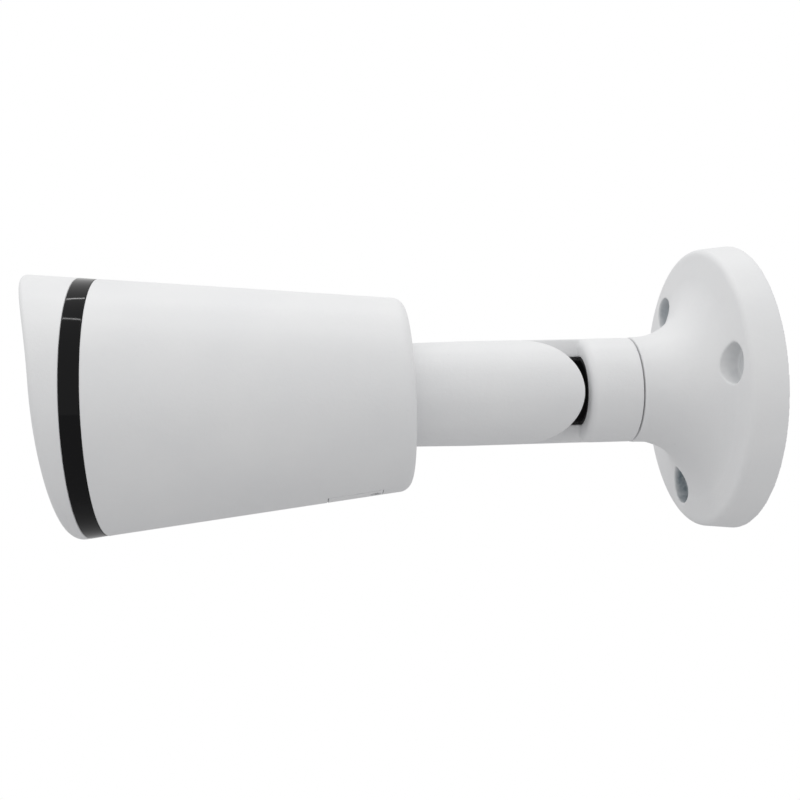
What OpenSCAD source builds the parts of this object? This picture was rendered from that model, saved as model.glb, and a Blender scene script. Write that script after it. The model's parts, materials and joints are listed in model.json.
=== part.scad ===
// Wall-mounted infrared bullet camera on a pan, tilt and roll bracket.
// The wall is the plane Y = 0, the camera looks along -Y, and +Z is up.
// The origin is the centre of the wall flange's back face.
// Every module works in a local frame: X sideways, Y up, Z away from the wall.

/* [Wall flange] */
// Radius of the wall flange
flange_r = 45; // [42:1:50]
// Height of the flange's cylindrical rim
flange_rim_h = 8.5; // [8:0.1:8.5]
// Radius of the fillet round the flange's front edge
flange_edge_r = 2; // [1.5:0.5:2]
// Radius of the circle through the wall screws
wall_screw_circle_r = 33.6; // [32:0.2:34]
// Radius of each wall screw hole
wall_screw_r = 2.4; // [2:0.1:3]
// Radius of the recess for each wall screw's head
wall_screw_head_r = 6; // [5:0.25:6.25]
// Angle of the first wall screw above the +X side
wall_screw_angle = 12; // [0:1:60]

/* [Bracket] */
// Distance from the wall to the pan seam
pan_seam_s = 31.5; // [31.5:0.1:33]
// Outer radius of the swivel neck
neck_r = 16.5; // [16.4:0.05:16.6]
// Radius of the cable way through the bracket
cable_way_r = 10.8; // [9.8:0.1:10.8]
// Distance from the wall to the tilt pivot
tilt_pivot_s = 66.4; // [66:0.1:68]
// Radius of the rounded ends of the two hinge lugs
lug_end_r = 16.1; // [15.5:0.1:16.2]
// Space from each hinge lug's end to the shoulder that faces it
lug_gap = 2.5; // [2:0.1:3]

/* [Camera housing] */
// Distance from the wall to the back of the housing
housing_back_s = 102.9; // [102.8:0.1:103.1]
// Radius of the housing at its back edge
housing_back_r = 29.85; // [29.5:0.05:30]
// Growth of the housing's radius for each millimetre towards the lens
housing_taper = 0.097; // [0.094:0.0005:0.099]
// Downward slope of the housing's own axis, in degrees
housing_droop = 1.07; // [1:0.01:1.2]
// Radius of the fillet round the housing's back edge
housing_edge_r = 4; // [3:0.5:5]
// Thickness of the housing's wall
housing_wall = 3.8; // [3.8:0.1:4]
// Distance from the wall to the black trim band
band_s = 194.8; // [194.5:0.1:195.2]
// Width of the black trim band
band_w = 5.35; // [5.2:0.05:5.5]

/* [Front] */
// Radius of the opening in front of the window
window_open_r = 29.7; // [28.7:0.1:29.8]
// Thickness of the window
window_t = 2.8; // [2:0.1:3]
// Radius of the circle of infrared lamps
led_circle_r = 22.6; // [22.2:0.1:22.8]
// Number of infrared lamps
led_count = 6; // [4, 6]

/* [Hidden] */
$fn = 72;

eps = 0.05;          // running fit and the gap between parts that touch
seam_gap = 0.4;      // visible joint between two painted castings
over = 1;            // overshoot of every cutting tool

// Flange
flange_draft = 0.9;                        // the rim is this much smaller at the front than at the wall
trumpet_r = 19.2;                          // concave flare from flange to neck
trumpet_end_s = 30;
neck_base_r = 16.7;
trumpet_centre_r = neck_base_r + trumpet_r;
wall_screw_floor_s = 6.5;
wall_screw_boss_r = 8;
back_pocket_r = 41;
back_pocket_s = 6;
nut_pocket_r = 20;
nut_pocket_s = 12;
pan_spigot_r = 13;
pan_spigot_s0 = 7.2;
pan_nut_s = [7.6, 11.1];
pan_nut_r = 18.4;
pan_washer_s = [11.3, 11.9];
pan_washer_r = 18;
lock_screw_s = 26;
lock_screw_r = 2;
lock_screw_span = [13.3, 16];
lock_screw_key_r = 1;
lock_screw_key_l = 1.6;
nut_notch = [3, 4];                         // spanner notches in every ring nut: depth, width

// Hinge
lap_gap = 0.15;                            // half the space between the two lap faces
neck_shoulder_s = tilt_pivot_s - lug_end_r - lug_gap;
arm_shoulder_s = tilt_pivot_s + lug_end_r + lug_gap;
guide_r = cable_way_r - 0.1;                // dark liner of the cable way
guide_t = 1;
pivot_boss_r = 5;
boss_lap_gap = 0.3;
tilt_screw_r = 2.5;
tilt_head_r = 4.2;
tilt_seat_x = -12;                         // floor of the far lug's screw recess
tilt_washer_t = 0.7;
tilt_head_x = -15.8;
tilt_tip_x = 11;
hex_key_r = 1.9;
hex_key_l = 2;
head_clearance = 0.3;

// Arm
arm_base_r = 16.44;
arm_tip_r = 16.12;
arm_end_s = 103.9;
roll_spigot_r = 12.5;
roll_spigot_end_s = 111;
gland_seat_s = 100;
gland_r = 9.5;
gland_end_s = 113;
gland_lip = 1.5;
cable_r = 3.2;
seal_groove_s = [104.7, 106.1];
seal_groove_r = 11.4;
roll_seal_t = 0.5;
roll_washer_s = [107.05, 107.7];
roll_nut_s = [107.95, 110.8];
roll_nut_r = 17.4;

// Housing: its axis passes through this point and slopes down towards the lens
housing_ref_s = 106;
housing_ref_h = 0.155;
housing_floor_s = 107;
washer_seat_r = 18.6;                      // flat seat, square to the arm, for the roll washer
washer_seat_t = 0.6;
housing_edge_bulge = 0.37;                 // makes the back fillet meet the cone smoothly
arm_recess_r = 16.6;
arm_recess_s = 104.3;
optic_h = -1.4;                            // height of the lens axis
seat_r = 34.5;                             // bore that takes the front bezel's spigot
seat_s = 186;
boss_ring_r = 26.5;
housing_boss_r = 3.5;
housing_rib_w = 4;
housing_boss_s = [130, 157.9];
boss_angles = [90, 210, 330];
chassis_screw_r = 1.25;
chassis_hole_l = 12;
chassis_screw_l = 9;
chassis_head_r = 2.3;

// Access cover under the housing
access_s = [111.6, 128.5];
access_half_w = 12;
access_cover_t = 1.8;
access_gap = 0.25;
access_open_s = [117.2, 126.4];
access_open_half_w = 9.6;
access_ledge_inset = 2.4;
access_pad_inset = 5;
access_pad_margin = 1.6;
access_screw_angles = [-105, -75];         // about the housing's axis
access_screw_s = 114.6;
access_screw_r = 0.9;
access_head_r = 1.5;
access_seat_inset = 1;
access_head_t = 0.7;
access_screw_l = 3.9;
access_head_clearance = 0.15;
cross_slot = [0.5, 2, 0.4];                // width, length and depth of a screw's cross slot

// Front
bezel_s = band_s + band_w;
bezel_floor_s = 203.6;
bezel_wall = 3.2;
bezel_tip_s = 226;
spigot_r = 34.4;
spigot_s = 187;
window_pocket_r = 31.6;
window_seat_s = 202.6;
hood_slope = 4.9;                          // the front edge leans back by this angle, in degrees
hood_bend_h = 6;                           // above this height the edge bends forward
hood_bend_s = 208.28;
hood_bend_r = 91.3;
hood_cut = 100;
seal_ring_s = 189.5;
seal_ring_r = 0.9;
gasket_t = 0.6;
window_front_s = window_seat_s - gasket_t;
window_back_s = window_front_s - window_t;
window_r = 31.5;
trim_t = 0.8;
trim_step = 0.2;
trim_outer_r = 35.4;
retainer_s = 195.5;
retainer_r = 28.5;
retainer_notch_l = 1.2;
led_board_s = [192, 193.6];
led_board_r = 28.3;
led_board_hole_r = 15.3;
led_size = 3.6;
led_t = 1.1;
led_lens_r = 4.1;
led_lens_base_r = 2.6;
led_lens_clearance = 0.4;
light_sensor_w = 3;
light_sensor_t = 1.6;
lens_shield_r = [17.4, 16.4];              // at the lamp board and at the window
led_post_r = 2;
led_post_ring_r = 26;
led_post_angles = [30, 150, 270];
sensor_angle = 360 / led_count / 2;

// Lens
barrel_r = 14.8;
barrel_base_w = 32;
barrel_base_h = 30;
grip_grooves_s = [168, 172, 184, 187];
grip_groove_t = 0.5;
lens_edge_gap = 0.4;                       // from each glass to the face beside it
rear_element_r = 6;
rear_ball_r = 16;
zoom_ball_r = 24;
focus_ball_r = 22;
barrel_bore_r = 12;
barrel_front_s = 196;
barrel_back_s = 155.1;
barrel_flange_s = 158;
front_element_s = 189.6;
front_element_r = 12.9;
front_dome_r = 21;
cell_r = 11.7;
zoom_cell_s = [174, 181];
zoom_lens_r = 8.95;
focus_cell_s = [162, 166.5];
focus_lens_r = 7.95;
motor_x = 19.4;
motor_r = 3.8;
motor_l = 11;
lead_screw_r = 0.9;
lead_screw_l = 13;

// Sensor block
filter_s = [151.95, 153.15];
filter_w = 19.4;
filter_h = 10.4;
filter_travel = 9;
filter_clearance = 0.2;
ir_cut_w = 34;
ir_cut_h = 22;
ir_aperture_r = 4.8;
solenoid_h = 14.2;                         // height of the solenoid's centre
solenoid_size = [13, 6];
solenoid_inset = 0.5;
lens_holder_w = 23;
lens_holder_open = [16, 14];
image_sensor_size = [13, 11];
ir_cut_s = [150.05, 155.05];
sensor_s = [145.65, 147.25];
sensor_board_s = [144, 145.6];
sensor_board_w = 34;
sensor_post_xy = 14.5;
main_board_s = [125.5, 127.1];
main_board_w = 36;
board_post_xy = 12;
processor_w = 14;
processor_t = 1.4;
pad_size = [13, 11];                       // thermal pad
pad_t = [1.5, 3];                          // its two faces, from the main board
spreader_t = 1.5;
card_at = [-2.5, -10.5];
card_w = 15;
card_t = 2;
card_slot = [11.4, 10, 0.6];               // width, length into the socket and side wall
reset_at = [7.9, -15.5];
reset_size = [3.6, 3.2, 4];
reset_button_r = 0.9;
reset_button_span = [1, 3.4];
reset_bore_floor = 0.4;
power_board_s = [116, 117.6];
power_board_w = 30;
transformer_h = 6.5;                       // height of the transformer's centre
transformer_size = [14, 9, 6];
capacitor_xy = [5, -6];
capacitor_r = 3.1;
capacitor_l = 5.5;
post_r = 2;
small_head_t = 1.3;
board_screw_r = 0.95;
board_screw_head_r = 1.9;
post_hole_r = 1;

// Chassis
chassis_s = [158.1, 159.6];
chassis_r = 29.5;
chassis_clearance = 0.4;
rail_x = 22;
rail_t = 2;
rail_half_h = 6;
rail_s = 128.5;

function housing_r_at(s) = housing_back_r + housing_taper * (s - housing_back_s);

access_seat_r = housing_r_at(access_screw_s) - access_seat_inset;

// Points of an arc about (cr, cz), from angle a0 to angle a1
function arc_points(cr, cz, r, a0, a1, steps) =
  [for (i = [0:steps]) let (a = a0 + (a1 - a0) * i / steps) [cr + r * cos(a), cz + r * sin(a)]];

// Turns the local frame's Z away from the wall, which is -Y
module from_wall() rotate([90, 0, 0]) children();

// Lens axis, parallel to the arm's axis
module on_optic_axis() from_wall() translate([0, optic_h, 0]) children();

// Frame whose Z follows the housing's own sloping axis
module on_housing_axis() {
  translate([0, housing_ref_h, housing_ref_s]) rotate([housing_droop, 0, 0])
    translate([0, 0, -housing_ref_s]) children();
}

module rod(r, s0, s1) translate([0, 0, s0]) cylinder(r = r, h = s1 - s0);

module ring(r_out, r_in, s0, s1) {
  difference() {
    rod(r_out, s0, s1);
    rod(r_in, s0 - over, s1 + over);
  }
}

module slab(w, h, s0, s1) translate([-w / 2, -h / 2, s0]) cube([w, h, s1 - s0]);

// Cylinder across the hinge, about the tilt pivot's axis
module cross_rod(r, x0, x1) {
  translate([x0, 0, tilt_pivot_s]) rotate([0, 90, 0]) cylinder(r = r, h = x1 - x0);
}

// Half of space on one side of the hinge's lap faces
module half_space(x0, x1, s0, s1) translate([x0, -50, s0]) cube([x1 - x0, 100, s1 - s0]);

module at_angles(angles, r) for (a = angles) rotate(a) translate([r, 0, 0]) children();

module notch(s0, s1) slab(nut_notch[0], nut_notch[1], s0, s1);

module at_corners(xy) for (x = [-xy, xy], y = [-xy, xy]) translate([x, y, 0]) children();

// ---------- Wall flange and pan joint ----------

wall_screw_angles = [for (i = [0:2]) wall_screw_angle + 120 * i];

module flange_body() {
  rotate_extrude() polygon(concat(
    [[0, 0], [flange_r, 0]],
    arc_points(flange_r - flange_draft - flange_edge_r, flange_rim_h, flange_edge_r, 5, 85, 8),
    arc_points(trumpet_centre_r, trumpet_end_s, trumpet_r, 270, 180, 20),
    [[neck_base_r, pan_seam_s], [0, pan_seam_s]]
  ));
}

module wall_flange() color("white") from_wall() {
  difference() {
    flange_body();
    rod(pan_spigot_r + eps, 0, pan_seam_s + over);
    rod(nut_pocket_r, -over, nut_pocket_s);
    difference() {
      rod(back_pocket_r, -over, back_pocket_s);
      at_angles(wall_screw_angles, wall_screw_circle_r)
        rod(wall_screw_boss_r, -2 * over, back_pocket_s + over);
    }
    at_angles(wall_screw_angles, wall_screw_circle_r) {
      rod(wall_screw_r, -over, wall_screw_floor_s + over);
      rod(wall_screw_head_r, wall_screw_floor_s, pan_seam_s);
    }
    translate([0, 0, lock_screw_s]) rotate([90, 0, 0]) rod(lock_screw_r + eps, 0, flange_r);
  }
}

module pan_friction_washer() color("dimgray") from_wall()
  ring(pan_washer_r, pan_spigot_r + 2 * eps, pan_washer_s[0], pan_washer_s[1]);

module pan_lock_screw() color("silver") from_wall() translate([0, 0, lock_screw_s]) rotate([90, 0, 0])
  difference() {
    rod(lock_screw_r, lock_screw_span[0], lock_screw_span[1]);
    translate([0, 0, lock_screw_span[1] - lock_screw_key_l])
      cylinder(r = lock_screw_key_r, h = lock_screw_key_l + over, $fn = 6);
  }

module pan_lock_nut() color("silver") from_wall() difference() {
  ring(pan_nut_r, pan_spigot_r + eps, pan_nut_s[0], pan_nut_s[1]);
  at_angles([0, 90, 180, 270], pan_nut_r) notch(pan_nut_s[0] - over, pan_nut_s[1] + over);
}

// ---------- Swivel neck and tilt hinge ----------

// Outline of one hinge lug: a bar along the axis that ends in a round about the pivot
module lug_outline(r, x0, x1, s0, s1) {
  half_space(x0, x1, s0, s1);
  cross_rod(r, x0, x1);
}

module neck_outline(r, end_r, s0) {
  rod(r, s0, neck_shoulder_s);
  intersection() {
    rod(r, neck_shoulder_s - over, tilt_pivot_s + end_r + over);
    lug_outline(end_r, -flange_r, -lap_gap, neck_shoulder_s - over, tilt_pivot_s);
  }
}

module swivel_neck() color("white") from_wall() difference() {
  union() {
    difference() {
      union() {
        rod(pan_spigot_r, pan_spigot_s0, pan_seam_s + over);
        neck_outline(neck_r, lug_end_r, pan_seam_s + seam_gap);
      }
      rod(cable_way_r, -over, neck_shoulder_s + over);
      intersection() {
        rod(cable_way_r, neck_shoulder_s, tilt_pivot_s + cable_way_r + over);
        lug_outline(cable_way_r, -flange_r, over, neck_shoulder_s, tilt_pivot_s);
      }
    }
    cross_rod(pivot_boss_r, tilt_seat_x, -boss_lap_gap);
  }
  cross_rod(tilt_screw_r + eps, -flange_r, over);
  cross_rod(tilt_head_r + head_clearance, -flange_r, tilt_seat_x);
}

module guide_outline(r, s0) {
  rod(r, s0, neck_shoulder_s - lap_gap);
  intersection() {
    rod(r, neck_shoulder_s - over, tilt_pivot_s + r + over);
    lug_outline(r, -flange_r, -2 * lap_gap, neck_shoulder_s - over, tilt_pivot_s);
  }
}

module cable_guide() color("black") from_wall() difference() {
  guide_outline(guide_r, pan_spigot_s0 + over);
  rod(guide_r - guide_t, 0, neck_shoulder_s + over);
  intersection() {
    rod(guide_r - guide_t, neck_shoulder_s, tilt_pivot_s + cable_way_r);
    lug_outline(guide_r - guide_t, -flange_r, over, neck_shoulder_s, tilt_pivot_s);
  }
  cross_rod(pivot_boss_r + 2 * eps, -flange_r, over);
}

module tilt_screw() color("silver") from_wall() difference() {
  union() {
    cross_rod(tilt_screw_r, tilt_seat_x - tilt_washer_t - over / 2, tilt_tip_x);
    cross_rod(tilt_head_r, tilt_head_x, tilt_seat_x - tilt_washer_t);
  }
  translate([tilt_head_x - over, 0, tilt_pivot_s]) rotate([0, 90, 0])
    cylinder(r = hex_key_r, h = hex_key_l + over, $fn = 6);
}

module tilt_washer() color("silver") from_wall() difference() {
  cross_rod(tilt_head_r + 2 * eps, tilt_seat_x - tilt_washer_t, tilt_seat_x);
  cross_rod(tilt_screw_r + eps, tilt_seat_x - 2 * over, tilt_seat_x + over);
}

module tilt_friction_disc() color("dimgray") from_wall() difference() {
  cross_rod(pivot_boss_r, -boss_lap_gap + eps, boss_lap_gap - eps);
  cross_rod(tilt_screw_r + eps, -over, over);
}

// ---------- Arm and roll joint ----------

module arm_tube() color("white") from_wall() difference() {
  union() {
    difference() {
      union() {
        intersection() {
          union() {
            translate([0, 0, tilt_pivot_s])
              cylinder(r1 = arm_base_r, r2 = arm_tip_r, h = arm_end_s - tilt_pivot_s);
            rod(arm_base_r, tilt_pivot_s - lug_end_r - over, tilt_pivot_s);
          }
          union() {
            half_space(-flange_r, flange_r, arm_shoulder_s, arm_end_s + over);
            lug_outline(lug_end_r, lap_gap, flange_r, tilt_pivot_s, arm_shoulder_s + over);
          }
        }
        rod(roll_spigot_r, arm_end_s - over, roll_spigot_end_s);
      }
      rod(cable_way_r, arm_shoulder_s - over, gland_seat_s);
      intersection() {
        rod(cable_way_r, tilt_pivot_s - cable_way_r - over, arm_shoulder_s);
        lug_outline(cable_way_r, -over, flange_r, tilt_pivot_s, arm_shoulder_s);
      }
      rod(gland_r, gland_seat_s - over, roll_spigot_end_s + over);
    }
    cross_rod(pivot_boss_r, boss_lap_gap, tilt_tip_x + over);
  }
  cross_rod(tilt_screw_r + eps, -over, tilt_tip_x + over / 2);
  ring(roll_spigot_r + over, seal_groove_r, seal_groove_s[0], seal_groove_s[1]);
}

module roll_lock_nut() color("silver") from_wall() difference() {
  ring(roll_nut_r, roll_spigot_r + eps, roll_nut_s[0], roll_nut_s[1]);
  at_angles([45, 135, 225, 315], roll_nut_r) notch(roll_nut_s[0] - over, roll_nut_s[1] + over);
}

module roll_seal_ring() color("black") from_wall()
  translate([0, 0, (seal_groove_s[0] + seal_groove_s[1]) / 2])
    rotate_extrude() translate([seal_groove_r + roll_seal_t + eps, 0]) circle(r = roll_seal_t, $fn = 24);

module cable_gland() color("black") from_wall() difference() {
  union() {
    rod(gland_r - eps, gland_seat_s + eps, gland_end_s);
    rod(gland_r + gland_lip, roll_spigot_end_s + eps, gland_end_s);
  }
  rod(cable_r, gland_seat_s - over, gland_end_s + over);
}

// ---------- Housing ----------

// Solid cone that follows the housing's outer surface, set in by an inset
module housing_cone(inset, s0, s1) on_housing_axis() translate([0, 0, s0])
  cylinder(r1 = housing_r_at(s0) - inset, r2 = housing_r_at(s1) - inset, h = s1 - s0);

// Outer form of the housing. Its back face and its joint with the band are square to its own axis.
module housing_blank() on_housing_axis() rotate_extrude() polygon(concat(
  [[0, housing_back_s]],
  arc_points(housing_back_r + housing_edge_bulge - housing_edge_r, housing_back_s + housing_edge_r,
    housing_edge_r, 270, 355, 10),
  [[housing_r_at(band_s - eps), band_s - eps], [0, band_s - eps]]
));

// Places a screw square to the access cover, with Z out of the housing
module at_access_screws() on_housing_axis() translate([0, 0, access_screw_s])
  for (a = access_screw_angles) rotate(a) rotate([0, 90, 0]) children();

module access_box(half_w, s0, s1) translate([-half_w, -flange_r, s0]) cube([2 * half_w, flange_r, s1 - s0]);

// Screw bosses inside the housing, each with a rib that runs out into the wall
module housing_bosses() intersection() {
  housing_cone(housing_wall / 2, housing_boss_s[0], housing_boss_s[1] + over);
  translate([0, optic_h, 0]) at_angles(boss_angles, boss_ring_r) {
    rod(housing_boss_r, housing_boss_s[0], housing_boss_s[1]);
    translate([housing_boss_r, 0, 0])
      slab(2 * housing_boss_r, housing_rib_w, housing_boss_s[0], housing_boss_s[1]);
  }
}

// Solid behind the access cover that its gasket and screws bear on
module access_pad() intersection() {
  difference() {
    housing_cone(housing_wall - over, access_s[0] - 4 * over, access_s[1] + 4 * over);
    housing_cone(access_pad_inset, access_s[0] - 5 * over, access_s[1] + 5 * over);
  }
  access_box(access_half_w + access_pad_margin, access_s[0] - access_pad_margin,
    access_s[1] + access_pad_margin);
}

module rear_housing() color("white") from_wall() difference() {
  housing_blank();
  difference() {
    housing_cone(housing_wall, housing_floor_s - washer_seat_t, seat_s + 1.5 * over);
    rod(washer_seat_r, 0, housing_floor_s);
    access_pad();
    housing_bosses();
  }
  translate([0, optic_h, 0]) rod(seat_r, seat_s, band_s + 2 * over);
  rod(roll_spigot_r + eps, housing_back_s - 5 * over, housing_floor_s + over);
  rod(arm_recess_r, housing_back_s - 5 * over, arm_recess_s);
  translate([0, optic_h, 0]) at_angles(boss_angles, boss_ring_r)
    rod(chassis_screw_r, housing_boss_s[1] - chassis_hole_l, housing_boss_s[1] + over);
  intersection() {
    difference() {
      housing_cone(-3 * over, access_s[0] - 4 * over, access_s[1] + 4 * over);
      housing_cone(access_ledge_inset, access_s[0] - 5 * over, access_s[1] + 5 * over);
    }
    access_box(access_half_w, access_s[0], access_s[1]);
  }
  access_box(access_open_half_w, access_open_s[0], access_open_s[1]);
  at_access_screws() cylinder(r = access_screw_r + eps, h = flange_r);
}

module roll_friction_washer() color("dimgray") from_wall()
  ring(roll_nut_r, roll_spigot_r + 2 * eps, roll_washer_s[0], roll_washer_s[1]);

module access_cover() color("white") from_wall() difference() {
  intersection() {
    difference() {
      housing_cone(0, access_s[0] - 4 * over, access_s[1] + 4 * over);
      housing_cone(access_cover_t, access_s[0] - 5 * over, access_s[1] + 5 * over);
    }
    access_box(access_half_w - access_gap, access_s[0] + access_gap, access_s[1] - access_gap);
  }
  at_access_screws() {
    cylinder(r = access_screw_r + access_head_clearance, h = flange_r);
    rod(access_head_r + access_head_clearance, access_seat_r, flange_r);
  }
}

module access_gasket() color("black") from_wall() difference() {
  intersection() {
    difference() {
      housing_cone(access_cover_t + eps, access_s[0] - 4 * over, access_s[1] + 4 * over);
      housing_cone(access_ledge_inset - eps, access_s[0] - 5 * over, access_s[1] + 5 * over);
    }
    access_box(access_half_w - over, access_s[0] + over, access_s[1] - over);
  }
  access_box(access_open_half_w + over / 2, access_open_s[0] - over / 2, access_open_s[1] + over / 2);
  at_access_screws() cylinder(r = access_head_r, h = flange_r);
}

module access_screws() color("silver") from_wall() at_access_screws() difference() {
  union() {
    rod(access_screw_r, access_seat_r - access_screw_l, access_seat_r + 2 * eps);
    rod(access_head_r, access_seat_r + eps, access_seat_r + access_head_t);
  }
  for (turn = [0, 90]) rotate(turn)
    slab(cross_slot[0], cross_slot[1], access_seat_r + access_head_t - cross_slot[2], flange_r);
}

// ---------- Trim band, bezel and window ----------

module trim_band() color("black") from_wall() difference() {
  housing_cone(0, band_s, bezel_s);
  translate([0, optic_h, 0]) rod(spigot_r + 3 * eps, band_s - 2 * over, bezel_s + 2 * over);
}

module front_bezel() color("white") from_wall() difference() {
  union() {
    housing_cone(0, bezel_s + eps, bezel_tip_s);
    translate([0, optic_h, 0]) rod(spigot_r, spigot_s, bezel_s + 1.5 * over);
  }
  translate([-hood_cut, hood_bend_h, hood_bend_s]) rotate([hood_slope, 0, 0]) {
    translate([0, -hood_cut, 0]) cube([2 * hood_cut, hood_cut, hood_cut]);
    translate([0, 0, hood_bend_r]) rotate([0, 90, 0])
      cylinder(r = hood_bend_r, h = 2 * hood_cut, $fn = 720);
  }
  intersection() {
    housing_cone(bezel_wall, bezel_s, bezel_tip_s + over);
    slab(200, 200, bezel_floor_s, bezel_tip_s + over);
  }
  translate([0, optic_h, 0]) {
    rod(window_pocket_r, spigot_s - over, window_seat_s);
    rod(window_open_r, window_seat_s - over, bezel_floor_s + over);
    ring(spigot_r + over, spigot_r - 2 * seal_ring_r, seal_ring_s - over, seal_ring_s + over);
  }
}

module bezel_seal_ring() color("black") on_optic_axis() translate([0, 0, seal_ring_s]) rotate_extrude()
  translate([seat_r - seal_ring_r - eps, 0]) circle(r = seal_ring_r - 2 * eps, $fn = 32);

module window_trim() color("black") on_optic_axis()
  ring(trim_outer_r, window_open_r + trim_step, bezel_floor_s + eps, bezel_floor_s + trim_t);

module window_gasket() color("black") on_optic_axis()
  ring(window_r, window_open_r + trim_step, window_front_s + eps, window_seat_s - eps);

module front_window() color("gray", 0.3) on_optic_axis() rod(window_r, window_back_s, window_front_s);

module window_retainer() color("black") on_optic_axis() difference() {
  ring(window_r, retainer_r, retainer_s, window_back_s - eps);
  at_angles([0, 120, 240], retainer_r) notch(retainer_s - over, retainer_s + retainer_notch_l);
}

// ---------- Infrared lamps ----------

led_angles = [for (i = [0:led_count - 1]) 360 / led_count * i];

module led_board() color("darkgreen") on_optic_axis() difference() {
  ring(led_board_r, led_board_hole_r, led_board_s[0], led_board_s[1]);
  at_angles(led_post_angles, led_post_ring_r)
    rod(post_hole_r, led_board_s[0] - over, led_board_s[1] + over);
}

module led_lamps() color("khaki") on_optic_axis()
  at_angles(led_angles, led_circle_r)
    slab(led_size, led_size, led_board_s[1] + eps, led_board_s[1] + led_t);

module led_lenses() color("gray", 0.5) on_optic_axis() at_angles(led_angles, led_circle_r)
  translate([0, 0, led_board_s[1] + led_t + eps])
    cylinder(r1 = led_lens_base_r, r2 = led_lens_r,
      h = window_back_s - led_board_s[1] - led_t - led_lens_clearance);

module light_sensor() color("dimgray") on_optic_axis() at_angles([sensor_angle], led_circle_r)
  slab(light_sensor_w, light_sensor_w, led_board_s[1] + eps, led_board_s[1] + light_sensor_t);

module led_board_posts() color("silver") on_optic_axis() at_angles(led_post_angles, led_post_ring_r)
  translate([0, 0, chassis_s[1] + eps])
    cylinder(r = led_post_r, h = led_board_s[0] - chassis_s[1] - 2 * eps, $fn = 6);

// ---------- Lens ----------

module lens_shield() color("black") on_optic_axis() difference() {
  translate([0, 0, led_board_s[1] + eps])
    cylinder(r1 = lens_shield_r[0], r2 = lens_shield_r[1], h = window_back_s - led_board_s[1] - 2 * eps);
  rod(barrel_r + eps, led_board_s[1] - over, window_back_s + over);
}

module lens_barrel() color("black") on_optic_axis() difference() {
  union() {
    slab(barrel_base_w, barrel_base_h, barrel_back_s, barrel_flange_s);
    rod(barrel_r, barrel_flange_s - over, barrel_front_s);
  }
  rod(rear_element_r + eps, barrel_back_s - over, barrel_flange_s);
  rod(barrel_bore_r, barrel_flange_s - lens_edge_gap, front_element_s);
  rod(front_element_r + eps, front_element_s - eps, barrel_front_s + over);
  for (s = grip_grooves_s) ring(barrel_r + over, barrel_r - grip_groove_t, s, s + 2 * grip_groove_t);
}

// Lens bounded by two spherical faces, with a cylindrical edge
module biconvex(r, ball_r, s0, s1) intersection() {
  rod(r, s0, s1);
  translate([0, 0, s0 + ball_r]) sphere(r = ball_r, $fn = 240);
  translate([0, 0, s1 - ball_r]) sphere(r = ball_r, $fn = 240);
}

module lens_front_element() color("lightblue", 0.5) on_optic_axis() intersection() {
  rod(front_element_r, front_element_s, barrel_front_s);
  translate([0, 0, barrel_front_s - lens_edge_gap - front_dome_r]) sphere(r = front_dome_r, $fn = 240);
}

module lens_rear_element() color("lightblue", 0.5) on_optic_axis()
  biconvex(rear_element_r, rear_ball_r, barrel_back_s + 2 * eps, barrel_flange_s - lens_edge_gap - 2 * eps);

module lens_motors() color("silver") on_optic_axis() for (side = [-1, 1]) translate([side * motor_x, 0, 0]) {
  rod(motor_r, chassis_s[1] + eps, chassis_s[1] + motor_l);
  rod(lead_screw_r, chassis_s[1] + motor_l - over / 2, chassis_s[1] + motor_l + lead_screw_l);
}

module lens_cell(s, r_in) ring(cell_r, r_in + eps, s[0], s[1]);

module zoom_cell() color("black") on_optic_axis() lens_cell(zoom_cell_s, zoom_lens_r);

module zoom_lens() color("lightblue", 0.5) on_optic_axis()
  biconvex(zoom_lens_r, zoom_ball_r, zoom_cell_s[0] + lens_edge_gap, zoom_cell_s[1] - lens_edge_gap);

module focus_cell() color("black") on_optic_axis() lens_cell(focus_cell_s, focus_lens_r);

module focus_lens() color("lightblue", 0.5) on_optic_axis()
  biconvex(focus_lens_r, focus_ball_r, focus_cell_s[0] + lens_edge_gap, focus_cell_s[1] - lens_edge_gap);

// ---------- Infrared cut filter and sensor ----------

module ir_cut_housing() color("black") on_optic_axis() difference() {
  slab(ir_cut_w, ir_cut_h, ir_cut_s[0], ir_cut_s[1]);
  slab(filter_w + filter_travel + 2 * filter_clearance, filter_h + 2 * filter_clearance,
    filter_s[0] - filter_clearance, filter_s[1] + filter_clearance);
  rod(ir_aperture_r, ir_cut_s[0] - over, ir_cut_s[1] + over);
}

module ir_cut_solenoid() color("orange") on_optic_axis() translate([0, solenoid_h, 0])
  slab(solenoid_size[0], solenoid_size[1], ir_cut_s[0] + solenoid_inset, ir_cut_s[1] - solenoid_inset);

module ir_cut_filter() color("crimson", 0.5) on_optic_axis() translate([-filter_travel / 2, 0, 0])
  slab(filter_w, filter_h, filter_s[0], filter_s[1]);

module lens_holder() color("black") on_optic_axis() difference() {
  slab(lens_holder_w, lens_holder_w, sensor_board_s[1] + eps, ir_cut_s[0] - eps);
  slab(lens_holder_open[0], lens_holder_open[1], sensor_board_s[1] - over, ir_cut_s[0] + over);
}

module image_sensor() color("slategray") on_optic_axis()
  slab(image_sensor_size[0], image_sensor_size[1], sensor_s[0], sensor_s[1]);

module sensor_board() color("darkgreen") on_optic_axis()
  slab(sensor_board_w, sensor_board_w, sensor_board_s[0], sensor_board_s[1]);

module hex_posts(xy, s0, s1) at_corners(xy) translate([0, 0, s0]) cylinder(r = post_r, h = s1 - s0, $fn = 6);

module sensor_standoffs() color("gold") on_optic_axis()
  hex_posts(sensor_post_xy, main_board_s[1] + eps, sensor_board_s[0] - eps);

// ---------- Electronics ----------

module main_board() color("darkgreen") on_optic_axis()
  slab(main_board_w, main_board_w, main_board_s[0], main_board_s[1]);

module processor() color("black") on_optic_axis()
  slab(processor_w, processor_w, main_board_s[1] + eps, main_board_s[1] + processor_t);

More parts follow.
